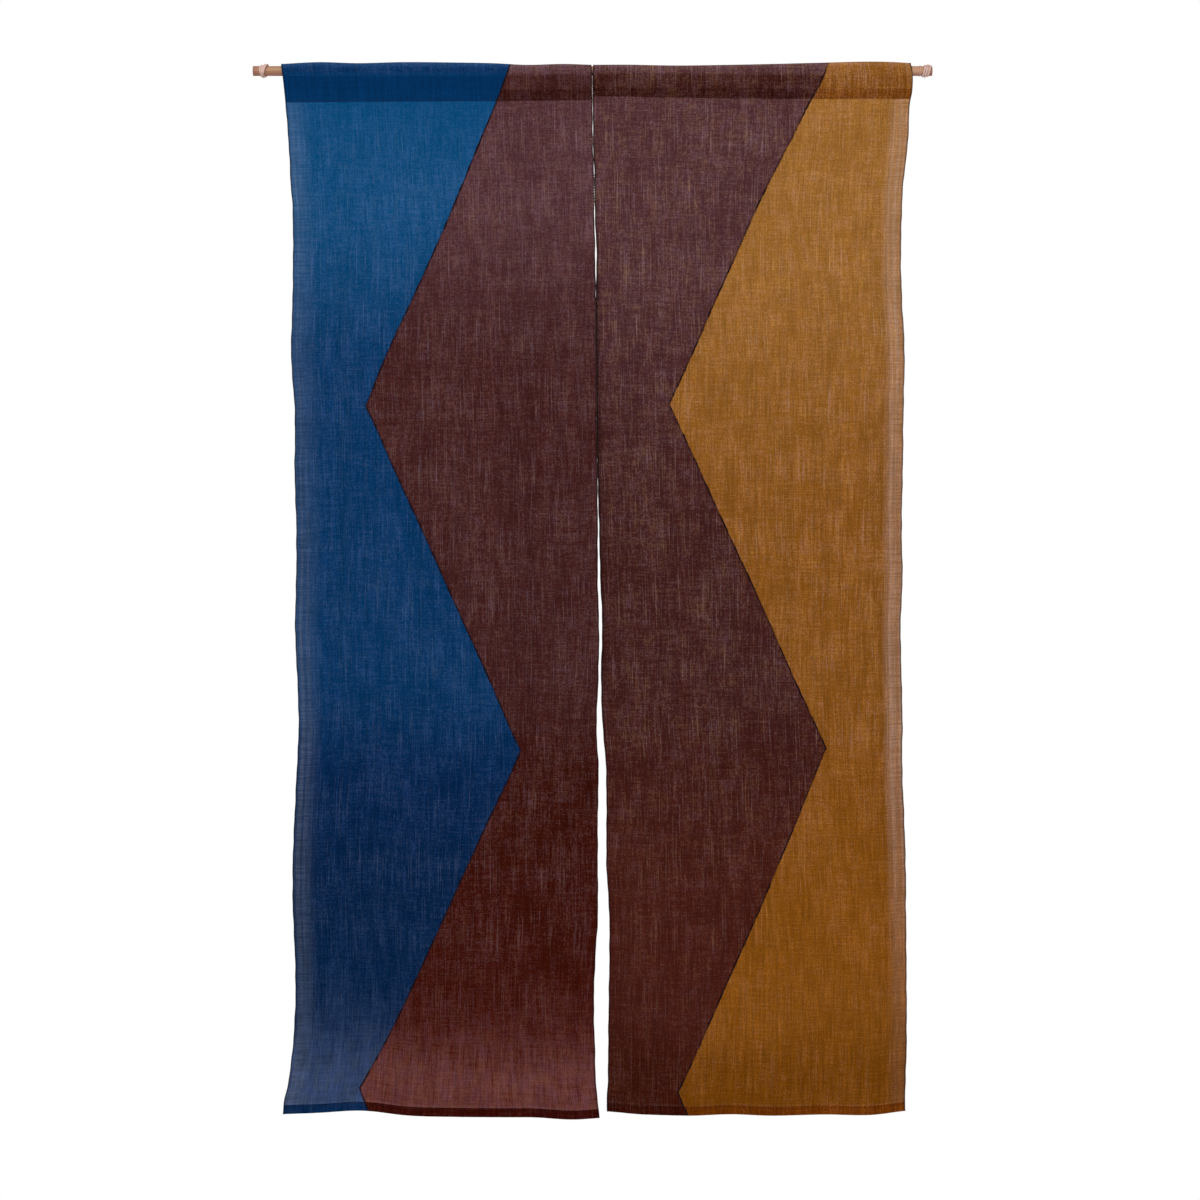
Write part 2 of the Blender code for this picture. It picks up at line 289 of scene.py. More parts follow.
LAMPS = (
    Lamp("key", (-1.6, -2.6, 1.3), 2.2, "key_power"),
    Lamp("fill", (2.4, -2.2, -0.2), 2.0, "fill_power"),
    Lamp("back", (0.6, 2.8, 0.9), 2.4, "fill_power"),
)
LAMPS_AIM = (0.01, 0, -0.6)
CAMERA_X = 0.0106
CAMERA_Z = -0.7557
FLOOR_RADIUS = 1.5
FLOOR_THICKNESS = 20 * MM
FLOOR_DARK = (0.78, 0.77, 0.75)
FLOOR_LIGHT = (0.86, 0.85, 0.83)


class Shade:
    """One procedural material. Each method adds a node and returns its output socket."""

    def __init__(self, name, roughness, specular):
        self.material = bpy.data.materials.new(name)
        self.material.use_nodes = True
        self.tree = self.material.node_tree
        self.shader = self.tree.nodes["Principled BSDF"]
        self.shader.inputs["Roughness"].default_value = roughness
        self.shader.inputs["Specular IOR Level"].default_value = specular

    def add(self, kind, **settings):
        made = self.tree.nodes.new(kind)
        for key, value in settings.items():
            setattr(made, key, value)
        return made

    def feed(self, value, socket):
        """Links a socket, or sets a plain value."""
        if isinstance(value, bpy.types.NodeSocket):
            self.tree.links.new(value, socket)
        elif hasattr(value, "__len__") and len(value) == 3 and socket.type == "RGBA":
            socket.default_value = (*value, 1)
        else:
            socket.default_value = value

    def calc(self, operation, *values, clamp=False):
        made = self.add("ShaderNodeMath", operation=operation, use_clamp=clamp)
        for place, value in enumerate(values):
            self.feed(value, made.inputs[place])
        return made.outputs[0]

    def object_place(self):
        return self.add("ShaderNodeTexCoord").outputs["Object"]

    def cloth_place(self):
        """Place on the flat cloth: metres across from its left side, and metres down from the rod's top."""
        return self.add("ShaderNodeUVMap", uv_map=CLOTH_MAP).outputs["UV"]

    def parts(self, vector):
        made = self.add("ShaderNodeSeparateXYZ")
        self.feed(vector, made.inputs[0])
        return made.outputs

    def noise(self, vector, size, shift=(0, 0, 0), detail=2.0, roughness=0.5):
        """Soft noise from 0 to 1 whose blots measure `size`, in metres along each axis."""
        mapping = self.add("ShaderNodeMapping")
        self.feed(vector, mapping.inputs["Vector"])
        mapping.inputs["Scale"].default_value = [1 / length for length in size]
        mapping.inputs["Location"].default_value = shift
        made = self.add("ShaderNodeTexNoise")
        self.feed(mapping.outputs[0], made.inputs["Vector"])
        made.inputs["Scale"].default_value = 1
        made.inputs["Detail"].default_value = detail
        made.inputs["Roughness"].default_value = roughness
        return made.outputs["Fac"]

    def ramp(self, value, low, high, start=0.0, end=1.0):
        """Rises smoothly from start, at low, to end, at high."""
        made = self.add("ShaderNodeMapRange", interpolation_type="SMOOTHSTEP")
        for socket, number in zip(made.inputs, (value, low, high, start, end)):
            self.feed(number, socket)
        return made.outputs[0]

    def product(self, first, *others):
        """All the values multiplied."""
        for value in others:
            first = self.calc("MULTIPLY", first, value)
        return first

    def factor(self, part, change):
        """1 where the part is 0, and 1 + change where it is 1."""
        return self.calc("MULTIPLY_ADD", part, change, 1.0)

    def total(self, *parts):
        """Sum of values, each given with its amount."""
        made = 0.0
        for part, amount in parts:
            made = self.calc("MULTIPLY_ADD", part, amount, made)
        return made

    def step(self, value, place, falls=False):
        """Goes from 0 to 1, or from 1 to 0 where it falls, within a yarn's width of a place."""
        low, high = place - 0.4 * MM, place + 0.4 * MM
        return self.ramp(value, low, high, 1.0, 0.0) if falls else self.ramp(value, low, high)

    def mix(self, share, first, second):
        made = self.add("ShaderNodeMix", data_type="RGBA")
        self.feed(share, made.inputs[0])
        self.feed(first, made.inputs[6])
        self.feed(second, made.inputs[7])
        return made.outputs[2]

    def swing(self, fac):
        """Noise spread to swing from -1 to 1."""
        return self.ramp(fac, 0.3, 0.7, -1.0, 1.0)

    def gamma(self, colour, power):
        made = self.add("ShaderNodeGamma")
        self.feed(colour, made.inputs[0])
        self.feed(power, made.inputs[1])
        return made.outputs[0]

    def vector(self, operation, first, second, socket=1):
        """Two colours added or multiplied."""
        made = self.add("ShaderNodeVectorMath", operation=operation)
        self.feed(first, made.inputs[0])
        self.feed(second, made.inputs[socket])
        return made.outputs[0]

    def scale(self, colour, factor):
        """A colour made brighter or darker by a factor."""
        return self.vector("SCALE", colour, factor, socket=3)

    def bump(self, height, strength, distance, after=None):
        made = self.add("ShaderNodeBump")
        made.inputs["Strength"].default_value = strength
        made.inputs["Distance"].default_value = distance
        self.feed(height, made.inputs["Height"])
        if after is not None:
            self.feed(after, made.inputs["Normal"])
        return made.outputs[0]

    def finish(self, colour, normal=None, roughness=None):
        self.feed(colour, self.shader.inputs["Base Color"])
        if normal is not None:
            self.feed(normal, self.shader.inputs["Normal"])
        if roughness is not None:
            self.feed(roughness, self.shader.inputs["Roughness"])
        return self.material


def length_setting(name, description, millimetres):
    return FloatProperty(name=name, description=description, default=millimetres * MM, unit="LENGTH")


def colour_setting(name, description, colour):
    return FloatVectorProperty(name=name, description=description, default=colour, subtype="COLOR")


class NOREN_PG_cloth(bpy.types.PropertyGroup):
    """Sizes and dyes of the two panels"""

    drop: length_setting("Drop", "From the rod's axis to the foot, before hanging", 1490)
    seam_depth: length_setting("Sleeve depth", "From the rod's axis to the sleeve's lower fold", 40)
    stitch_inset: length_setting("Stitch inset", "From a fold to its row of stitches", 2)
    hem_depth: length_setting("Hem depth", "Height of the turned-up hem", 13)
    turn_in: length_setting("Turn-in", "Raw edge tucked inside the sleeve's fold", 14)
    layer: length_setting("Layer", "Distance between two layers of cloth", 0.45)
    sleeve_reach: length_setting("Sleeve reach", "From the rod's axis to the cloth round it", 8.0)
    loom_width: length_setting("Loom width", "Width that one panel was woven to", 449)
    selvedge: length_setting("Selvedge", "Radius of the rounded woven edge", 0.45)
    yarn_pitch: length_setting("Yarn pitch", "From one yarn to the next", 0.56)
    leg: length_setting("Leg", "Height of one straight leg of the dyed zigzag", 490)
    narrow: length_setting("Narrow", "Left field's width where it is least", 106)
    wide: length_setting("Wide", "Left field's width where it is most", 334)
    # Dyes. Each glow is painted light through one layer of its dye
    blue: colour_setting("Blue", "Blue dye", (0.0004, 0.0205, 0.089))
    blue_low: colour_setting("Low blue", "Blue dye near the foot", (0.0006, 0.0160, 0.065))
    blue_glow: colour_setting("Blue glow", "Light through one blue layer", (0.0004, 0.044, 0.100))
    brown: colour_setting("Brown", "Brown dye", (0.0430, 0.0052, 0.0015))
    brown_low: colour_setting("Low brown", "Left brown near the foot", (0.0500, 0.0043, 0.0008))
    brown_warm: colour_setting("Warm brown", "Right brown near the foot", (0.0590, 0.0070, 0.0008))
    brown_glow: colour_setting("Brown glow", "Light through one brown layer", (0.035, 0.018, 0.025))
    ochre: colour_setting("Ochre", "Ochre dye", (0.214, 0.063, 0.0020))
    ochre_low: colour_setting("Low ochre", "Ochre dye near the foot", (0.224, 0.064, 0.0003))
    ochre_glow: colour_setting("Ochre glow", "Light through one ochre layer", (0.110, 0.065, 0.0175))
    # Tints of the painted daylight haze in each panel
    left_warm: colour_setting("Left warm", "Warmer daylight in the left panel", (0.0205, 0.0172, 0.0140))
    left_cool: colour_setting("Left cool", "Cooler daylight in the left panel", (0.0183, 0.0167, 0.0203))
    right_warm: colour_setting("Right warm", "Warmer daylight in the right panel", (0.0210, 0.0168, 0.0098))
    right_cool: colour_setting("Right cool", "Cooler daylight in the right panel", (0.0188, 0.0161, 0.0176))
    # Bare hemp at the selvedges, whose pale colour also paints light through the thin edges; the left one is
    # cooler, as painted shade
    undyed: colour_setting("Undyed", "Bare hemp at the right selvedge", (0.95, 0.82, 0.78))
    cool_undyed: colour_setting("Cool undyed", "Bare hemp at the left selvedge", (0.76, 0.82, 0.88))


class NOREN_PG_rod(bpy.types.PropertyGroup):
    """Sizes, wood and rubber of the rod and its bands"""

    length: length_setting("Length", "From end to end", (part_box("rod")[1].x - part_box("rod")[0].x) / MM)
    radius: length_setting("Radius", "Half its thickness", 7)
    wood: colour_setting("Wood", "Pale growth of the wood", (0.60, 0.35, 0.20))
    grain: colour_setting("Grain", "Darker lines of the grain", (0.36, 0.17, 0.085))
    rubber: colour_setting("Rubber", "The wound bands", (0.77, 0.53, 0.46))


class NOREN_PG_stage(bpy.types.PropertyGroup):
    """Floor, light and camera"""

    floor_height: FloatProperty(
        name="Floor", description="Height of the floor's top", default=-1.95, unit="LENGTH"
    )
    distance: FloatProperty(
        name="Distance", description="From the camera to the rod", default=4.0, unit="LENGTH"
    )
    picture_width: FloatProperty(
        name="Picture width", description="Width seen at the rod", default=1.7143, unit="LENGTH"
    )
    daylight: FloatProperty(
        name="Daylight", description="Even light from all round", default=0.54, subtype="FACTOR"
    )
    key_power: FloatProperty(
        name="Key", description="Power of the large front light", default=54, unit="POWER"
    )
    fill_power: FloatProperty(
        name="Fill", description="Power of the side light", default=19, unit="POWER"
    )


def column(rows, name):
    return np.array([getattr(row, name) for row in rows], float)


def smooth_along(rows, key, value, places):
    """A table's column `value` at each of `places` in its column `key`, on a smooth curve."""
    keys, values = column(rows, key), column(rows, value)
    slopes = np.gradient(values, keys)
    places = np.clip(places, keys[0], keys[-1])
    spot = np.clip(np.searchsorted(keys, places, side="right") - 1, 0, len(keys) - 2)
    span = keys[spot + 1] - keys[spot]
    share = (places - keys[spot]) / span
    rise = share * share * (3 - 2 * share)
    leave = share * (1 - share) ** 2 * span * slopes[spot]
    reach = share * share * (share - 1) * span * slopes[spot + 1]
    return values[spot] * (1 - rise) + values[spot + 1] * rise + leave + reach


def fold_wave(crests, across):
    """Between crests the cloth swings over as half a cosine."""
    places, depths = column(crests, "across"), column(crests, "depth")
    across = np.clip(across, 0, 1)
    spot = np.clip(np.searchsorted(places, across, side="right") - 1, 0, len(places) - 2)
    share = (across - places[spot]) / (places[spot + 1] - places[spot])
    swing = (1 - np.cos(np.pi * share)) / 2
    return depths[spot] * (1 - swing) + depths[spot + 1] * swing


def crease_depth(panel, across, drop):
    """How far the soft creases press the cloth to the back."""
    total = np.zeros_like(across)
    for crease in CREASES:
        if crease.panel == panel.name:
            middle = (crease.drop + crease.slant * across) * MM
            away = (drop - middle) / (crease.width * MM)
            ends = np.clip((across - crease.start) / 0.12 + 0.5, 0, 1)
            ends = ends * np.clip((crease.end - across) / 0.12 + 0.5, 0, 1)
            total += crease.depth * MM * ends * np.exp(-away * away)
    return total


def hang(cloth, panel, across, y, drop):
    """Where points of the flat panel lie once it hangs. across is the share of the width."""
    top = smooth_along(panel.edges, "across", "top", across) * MM
    seam = smooth_along(panel.edges, "across", "seam", across) * MM
    foot = smooth_along(panel.edges, "across", "foot", across) * MM
    below = seam + (drop - cloth.seam_depth) * (foot - seam) / (cloth.drop - cloth.seam_depth)
    hung = np.where(drop < cloth.seam_depth, drop * seam / cloth.seam_depth, below)
    hung = np.where(drop < 0, drop * top / cloth.sleeve_reach, hung)

    level = drop / MM
    outer = smooth_along(SIDES, "drop", panel.outer, level) * MM
    slit = smooth_along(SIDES, "drop", panel.slit, level) * MM
    deep = smooth_along(SIDES, "drop", panel.fold, level) * MM
    drift = FOLD_LEAN * drop / cloth.drop * np.sin(np.pi * across)
    y = y + deep * fold_wave(panel.crests, across - drift) + crease_depth(panel, across, drop)

    # The selvedges ripple a little, and the stitches pucker the cloth below the sleeve
    hanging = np.clip(drop / FREE_BELOW, 0, 1)
    near_outer = np.exp(-across * cloth.loom_width / RIPPLE_REACH)
    near_slit = np.exp(-(1 - across) * cloth.loom_width / RIPPLE_REACH)
    wave = np.sin(drop / (13.7 * MM) + panel.phase) + 0.7 * np.sin(drop / (8.3 * MM) + 2 * panel.phase)
    y = y + OUTER_RIPPLE * hanging * wave * near_outer + SLIT_RIPPLE * hanging * wave * near_slit
    nudge = np.sin(drop / (9.1 * MM) + 3 * panel.phase) + 0.8 * np.sin(drop / (4.7 * MM) + panel.phase)
    nudge = EDGE_WANDER * hanging * nudge
    pucker = np.sin(across * cloth.loom_width / (2.9 * MM)) * np.sin(across * 23 + panel.phase)
    fade = np.exp(-np.abs(drop - cloth.seam_depth) / (16 * MM)) * np.clip(drop / (20 * MM), 0, 1)
    y = y + SEAM_PUCKER * pucker * fade
    hem_fade = np.exp(-np.abs(cloth.drop - cloth.hem_depth - drop) / (14 * MM))
    y = y + HEM_PUCKER * np.sin(across * cloth.loom_width / (3.4 * MM) + panel.phase) * hem_fade
    x = outer + (slit - outer) * across + nudge * (near_outer + near_slit)
    return x, y, -hung


def turn(points, centre_y, centre_drop, radius, start, end, steps=5):
    """Adds an arc. Angle 0 points to +Y, and 90 degrees points down."""
    for step in range(steps + 1):
        angle = math.radians(start + (end - start) * step / steps)
        points.append((centre_y + radius * math.cos(angle), centre_drop + radius * math.sin(angle)))


def straight(points, end, longest):
    """Adds a straight run to `end` in even steps."""
    start = points[-1]
    count = max(1, math.ceil(math.dist(start, end) / longest))
    for step in range(1, count + 1):
        share = step / count
        points.append(tuple(a + (b - a) * share for a, b in zip(start, end)))


def cloth_route(cloth):
    """The cloth's middle line in the flat, sewn panel, as (y, drop) points: from the raw edge inside
    the hem, round the foot, up the front, over the rod and down to the raw edge inside the sleeve."""
    layer = cloth.layer
    front, inside, back = -0.8 * layer, 0.2 * layer, 1.2 * layer
    foot, hem_top = cloth.drop, cloth.drop - cloth.hem_depth
    stitch, seam = cloth.seam_depth - cloth.stitch_inset, cloth.seam_depth
    reach = cloth.sleeve_reach

    points = [(inside, foot - 1.5 * MM)]
    straight(points, (inside, hem_top + layer / 2), 3 * MM)
    turn(points, (inside + back) / 2, hem_top + layer / 2, layer / 2, 180, 360)
    straight(points, (back, foot - layer), 3 * MM)
    turn(points, (front + back) / 2, foot - layer, layer, 0, 180)
    straight(points, (front, hem_top), 3 * MM)
    straight(points, (front, seam + 30 * MM), 4.6 * MM)
    straight(points, (front, stitch), 2.5 * MM)
    straight(points, (-0.62 * reach, stitch * 0.42), 2.5 * MM)
    straight(points, (-reach, 0), 2.5 * MM)
    turn(points, 0, 0, reach, 180, 360, steps=16)
    straight(points, (0.62 * reach, stitch * 0.42), 2.5 * MM)
    straight(points, (back, stitch), 2.5 * MM)
    straight(points, (back, seam - layer / 2), 1.5 * MM)
    turn(points, (inside + back) / 2, seam - layer / 2, layer / 2, 0, 180)
    straight(points, (inside, stitch), 1.5 * MM)
    straight(points, (inside + 0.9 * MM, seam - cloth.turn_in), 2.5 * MM)
    clean = [points[0]]
    for point in points[1:]:
        if math.dist(point, clean[-1]) > 0.01 * MM:
            clean.append(point)
    return np.array(clean)


def cloth_marks(cloth):
    """How far down the front, from the rod's top, the cloth meets the sleeve's lower fold and the hem."""
    route = cloth_route(cloth)
    lengths = route_lengths(route)
    summit = int(np.argmin(route[:, 1]))
    foot = int(np.argmax(route[:summit, 1]))
    drops, downs = route[foot:summit, 1][::-1], (lengths[summit] - lengths[foot:summit])[::-1]
    seam, hem = np.interp([cloth.seam_depth, cloth.drop - cloth.hem_depth], drops, downs)
    return Marks(float(seam), float(hem))


def route_lengths(route):
    """Length along the cloth to each point of its route, in metres."""
    steps = np.hypot(*np.diff(route, axis=0).T)
    return np.concatenate([[0], np.cumsum(steps)])


def new_piece(name, mesh, material):
    """An object at the origin that rides on the curtain and takes the given material."""
    mesh.materials.clear()
    mesh.materials.append(material)
    piece = bpy.data.objects.new(name, mesh)
    bpy.context.scene.collection.objects.link(piece)
    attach(piece, BODY)
    return piece


def bmesh_piece(name, bm, material):
    mesh = bpy.data.meshes.new(name)
    bm.to_mesh(mesh)
    bm.free()
    mesh.shade_smooth()
    return new_piece(name, mesh, material)


def thread_piece(name, lines, radius, material):
    """Round yarns along lists of points, as one mesh."""
    curve = bpy.data.curves.new(name, "CURVE")
    curve.dimensions = "3D"
    curve.bevel_depth = radius
    curve.bevel_resolution = 1
    curve.use_fill_caps = True
    for points in lines:
        spline = curve.splines.new("POLY")
        spline.points.add(len(points) - 1)
        for spot, point in zip(spline.points, points):
            spot.co = (*point, 1)
    guide = bpy.data.objects.new(name + "_guide", curve)
    bpy.context.scene.collection.objects.link(guide)
    bpy.context.view_layer.update()
    mesh = bpy.data.meshes.new_from_object(guide.evaluated_get(bpy.context.evaluated_depsgraph_get()))
    bpy.data.objects.remove(guide)
    bpy.data.curves.remove(curve)
    bm = bmesh.new()
    bm.from_mesh(mesh)
    bmesh.ops.remove_doubles(bm, verts=bm.verts, dist=0.01 * MM)
    bmesh.ops.recalc_face_normals(bm, faces=bm.faces)
    bpy.data.meshes.remove(mesh)
    return bmesh_piece(name, bm, material)


def hemp_grain(shade, place, shift):
    """Each unevenness by its name, swinging from -1 to 1."""
    made = {}
    for name, grain in GRAINS.items():
        size = (grain.width * MM, grain.height * MM, 1)
        spot = (3.1 * grain.place, 7.7 * grain.place, shift[2])
        made[name] = shade.swing(shade.noise(place, size, spot, grain.detail, grain.roughness))
    return made


def add_up(shade, grain, parts):
    return shade.total(*((grain[name], amount) for name, amount in parts))


def dyed_zigzag(shade, cloth, place, shift):
    """How much of the second dye lies here, and how dark the line is where it overlaps the first."""
    across, down, _ = shade.parts(place)
    swing = shade.calc("PINGPONG", shade.calc("ADD", down, cloth.leg), cloth.leg)
    edge = shade.calc("MULTIPLY_ADD", swing, (cloth.wide - cloth.narrow) / cloth.leg, cloth.narrow)
    lean = cloth.leg / math.hypot(cloth.leg, cloth.wide - cloth.narrow)
    away = shade.product(shade.calc("SUBTRACT", across, edge), lean)
    for creep in DYE_CREEP:
        crept = shade.noise(place, (creep.width * MM, creep.height * MM, 1), shift, detail=creep.detail)
        crept = shade.calc("MULTIPLY_ADD", crept, creep.reach * MM, -creep.reach / 2 * MM)
        away = shade.calc("ADD", away, crept)
    second = shade.ramp(away, -0.4 * MM, 0.4 * MM)
    overlap = shade.ramp(shade.calc("ABSOLUTE", away), 0.8 * MM, 1.7 * MM, 1.0, 0.0)
    uneven = shade.ramp(shade.noise(place, (9 * MM, 26 * MM, 1), shift), 0.35, 0.6, 0.45, 1.0)
    return second, shade.product(overlap, uneven)


def plain_weave(shade, cloth, place, grain):
    """1 where two yarns cross, and 0 at the pinholes between them."""
    yarns = []
    for line, waver in zip(shade.parts(place), (grain["slub"], grain["weft"])):
        line = shade.calc("MULTIPLY_ADD", waver, 0.12 * MM, line)
        wave = shade.calc("SINE", shade.product(line, math.pi / cloth.yarn_pitch))
        yarns.append(shade.calc("ABSOLUTE", wave))
    return shade.product(*yarns)


def cloth_layers(shade, cloth, down, marks):
    """Where the cloth is single or doubled, and how far its turned-in edge and hem make a third layer."""
    height = shade.calc("ABSOLUTE", down)
    over_rod = shade.ramp(height, 14 * MM, 22 * MM, 1.0, 0.0)
    sleeve = shade.calc("SUBTRACT", shade.step(down, marks.seam, falls=True), over_rod, clamp=True)
    raw_edge = marks.seam - cloth.turn_in
    turned = shade.product(shade.ramp(height, raw_edge - 2 * MM, raw_edge + 1 * MM, 0.0, 0.45), sleeve)
    hem = shade.step(down, marks.hem)
    return Layers(
        over_rod=over_rod,
        summit=shade.ramp(height, 3 * MM, 12 * MM, 1.0, 0.0),
        under_sleeve=shade.ramp(down, *BELOW_SLEEVE, 1.0, 0.0),
        sleeve=sleeve,
        hem=hem,
        single=shade.factor(hem, -0.8),
        doubled=shade.calc("MAXIMUM", sleeve, hem),
        tripled=shade.calc("MAXIMUM", turned, shade.product(hem, 0.55)),
    )


def cloth_light_and_tone(shade, down, place, shift, grain, weave, layers, marks, light_falloff, daylight):
    """What both dyes of a panel share: their tone, and the light through one layer and the daylight, both
    painted into the colour.
    """
    # Painted light: most of the light comes through just below the sleeve, painted into the colour
    light = shade.product(
        shade.ramp(down, light_falloff.top, light_falloff.middle, 1.0, 0.34),
        shade.ramp(down, *LIGHT_DIMS, 1.0, light_falloff.at_foot),
        shade.ramp(down, *LIGHT_ENDS, 1.0, 0.3),
    )

    # Painted light: thin yarns, loose patches and pinholes let a haze of daylight through, painted into the
    # colour and falling off down the cloth
    loose = add_up(shade, grain, OPEN_PARTS)
    loose = shade.calc("MULTIPLY_ADD", shade.ramp(grain["thread"], 0.65, 1.0), 3.0, loose)
    loose = shade.calc("ADD", loose, shade.ramp(weave, 0.0, 0.4, 0.9, -0.5))
    evened = shade.ramp(down, light_falloff.clear, HAZE_ENDS, light_falloff.uneven, 0.5 * light_falloff.uneven)
    fresh = shade.product(shade.ramp(down, light_falloff.clear, HAZE_ENDS, 1.0, 0.22), layers.single)
    # Painted highlight on the worn summit over the rod, where worn fibres catch the light
    worn_highlight = shade.ramp(grain["worn_highlight"], 0.0, 0.9, 1.4, 4.2)  # on the summit over the rod

    # Painted light: the foot is paler, up to a pale rim just above the hem
    near_foot = shade.total((shade.ramp(down, *FOOT_PALES), 0.68), (shade.ramp(down, *FOOT_STARTS), 0.32))
    streaks = shade.calc("ADD", add_up(shade, grain, FOOT_PARTS), 1.0)

    # The dye is darker in knots, and painted shade darkens it between the yarns
    knot = shade.noise(place, (2.8 * MM, 13 * MM, 1), (9, 4, shift[2]), detail=1)
    tone = add_up(shade, grain, TONE_PARTS)
    tone = shade.calc("MULTIPLY_ADD", shade.ramp(knot, 0.71, 0.79), -1.0, tone)
    tone = shade.calc("ADD", tone, shade.ramp(weave, 0.0, 0.5, -0.4, 0.12))
    return LightAndTone(
        tone=shade.calc("POWER", 2.0, tone),
        low=shade.ramp(down, *DYE_LOW),
        light=light,
        steady=shade.calc("MULTIPLY_ADD", light, 0.8, 0.2),
        fresh=fresh,
        loose=shade.product(loose, shade.calc("MULTIPLY_ADD", light, 0.15, 0.85), evened),
        crest=shade.product(layers.summit, worn_highlight),
        near_foot=near_foot,
        foot_haze=shade.product(near_foot, streaks),
        hem_rim=shade.ramp(down, marks.hem - 4 * MM, marks.hem - 1 * MM, 0.0, 0.8),
        # The colour of the painted daylight haze, between warm and cool in patches
        air=shade.mix(shade.ramp(grain["warmth"], -1, 1), daylight.warm, daylight.cool),
    )


def dyed_field(shade, dye, layers, light_and_tone):
    """One dye: its own depth, with the light that glows through it and the haze of daylight over both
    painted into its colour.
    """
    # Painted light and shade at the foot: the dye is brightened there where its foot factor is above 1, and
    # darkened where it is below
    foot = shade.factor(shade.product(light_and_tone.near_foot, layers.single), dye.foot - 1)
    deep = shade.scale(shade.mix(light_and_tone.low, dye.deep, dye.low), shade.product(light_and_tone.tone, foot))

    # Painted glow through one layer: mostly blocked where the cloth is doubled, changed over the rod where
    # the wood shows through, and raised on the summit
    thin = shade.product(shade.factor(layers.doubled, -0.80), shade.factor(layers.over_rod, dye.crown - 1))
    thin = shade.calc("MULTIPLY_ADD", layers.summit, 0.5 - 0.5 * dye.crown, thin)
    glow = shade.scale(dye.glow, shade.product(light_and_tone.light, thin))

    # Painted daylight haze: changed over the rod, in the sleeve and just below it, with a painted pale foot
    # and rim above the hem, and a painted highlight on the worn summit
    haze = shade.product(light_and_tone.steady, shade.factor(layers.over_rod, dye.crown - 0.4), light_and_tone.fresh)
    haze = shade.product(
        shade.calc("ADD", haze, light_and_tone.loose),
        shade.factor(layers.sleeve, dye.sleeve - 1),
        shade.factor(layers.under_sleeve, dye.head - 1),
    )
    veil = shade.calc("MULTIPLY_ADD", light_and_tone.foot_haze, dye.veil, light_and_tone.hem_rim)
    haze = shade.calc("MULTIPLY_ADD", veil, shade.calc("SUBTRACT", 1.0, layers.hem), haze)
    haze = shade.calc("ADD", shade.calc("MAXIMUM", haze, 0.0), light_and_tone.crest)
    haze = shade.vector("MULTIPLY", shade.scale(light_and_tone.air, haze), dye.tint)

    colour = shade.vector("ADD", shade.vector("ADD", deep, glow), haze)
    # Painted shade where three layers lie, turned to a little painted light for a dye whose third is below 0
    return shade.gamma(colour, shade.factor(layers.tripled, 0.13 * dye.third))


def bare_and_backlit_selvedge(shade, down, inwards, place, shift, grain, layers, marks, selvedge):
    """How much bare hemp shows at the selvedge, in stripes of a few yarns, together with painted light
    through the thin edge.
    """
    stripes = shade.noise(place, (5 * MM, 900 * MM, 1), (7, 2, shift[2]), detail=3)
    return shade.product(
        shade.ramp(inwards, selvedge.solid * MM, selvedge.gone * MM, selvedge.share, 0.0),
        shade.ramp(down, *SELVEDGE_DIMS, 1.0, selvedge.at_foot),
        shade.factor(layers.under_sleeve, -0.35),
        shade.ramp(stripes, 0.4, 0.6, 0.6, 1.3),
        shade.ramp(grain["weft"], -1, 1, 0.7, 1.3),
        shade.step(down, marks.seam),
        shade.factor(layers.hem, -0.9),
    )


def dyed_hemp(cloth, name, dyes, selvedge, light_falloff, daylight, shift):
    """Sheer plain-woven hemp in two dyed fields, divided by a zigzag of straight legs. The light through it,
    and the shade where it lies in layers, are painted into its colour.
    """
    shade = Shade(name, roughness=0.9, specular=0.03)
    place = shade.cloth_place()
    across, down, _ = shade.parts(place)
    marks = cloth_marks(cloth)
    grain = hemp_grain(shade, place, shift)
    weave = plain_weave(shade, cloth, place, grain)
    layers = cloth_layers(shade, cloth, down, marks)
    light_and_tone = cloth_light_and_tone(shade, down, place, shift, grain, weave, layers, marks, light_falloff, daylight)

    second, overlap = dyed_zigzag(shade, cloth, place, shift)
    colour = shade.mix(second, *(dyed_field(shade, dye, layers, light_and_tone) for dye in dyes))
    colour = shade.mix(overlap, colour, OVERLAP_LINE)

    # Bare hemp at the selvedges, with painted light through the thin edges
    to_right = shade.calc("SUBTRACT", cloth.loom_width, across)
    inwards = across if selvedge.left else to_right
    bare = bare_and_backlit_selvedge(shade, down, inwards, place, shift, grain, layers, marks, selvedge)
    colour = shade.mix(bare, colour, selvedge.bare)
    # Painted shade along both side edges, where the selvedges curl: darker within about three millimetres of
    # each edge
    rim = shade.ramp(shade.calc("MINIMUM", across, to_right), 0.9 * MM, 2.8 * MM, 0.5, 1.0)
    colour = shade.scale(colour, rim)

    # Painted shade: the ridge along the rod's top is deeper, where it is seen along the cloth
    height = shade.calc("ABSOLUTE", down)
    colour = shade.gamma(colour, shade.ramp(height, 2.5 * MM, 5.5 * MM, 1.16, 1.0))

    normal = shade.bump(weave, 0.35, 0.12 * MM)
    normal = shade.bump(add_up(shade, grain, RELIEF_PARTS), 0.5, 0.3 * MM, after=normal)
    return shade.finish(colour, normal)


def hemp_yarn(yarn):
    """Twisted hemp, for selvedges and sewing."""
    shade = Shade(yarn.name, roughness=0.85, specular=0.2)
    place = shade.object_place()
    twist = shade.noise(place, (0.9 * MM, 0.9 * MM, 0.6 * MM), detail=2)
    patch = shade.noise(place, (8 * MM, 8 * MM, 14 * MM), (4, 1, 2), detail=3)
    share = shade.ramp(shade.calc("MULTIPLY_ADD", twist, 0.4, patch), 0.5, 0.95)
    return shade.finish(shade.mix(share, yarn.colour, yarn.paler), shade.bump(twist, 0.6, 0.2 * MM))


def panel_edge_points(cloth, panel, route, across):
    """The line of a selvedge, from the hem's raw edge to the sleeve's."""
    sides = np.full(len(route), float(across))
    x, y, z = hang(cloth, panel, sides, route[:, 0], route[:, 1])
    return list(zip(x, y, z))


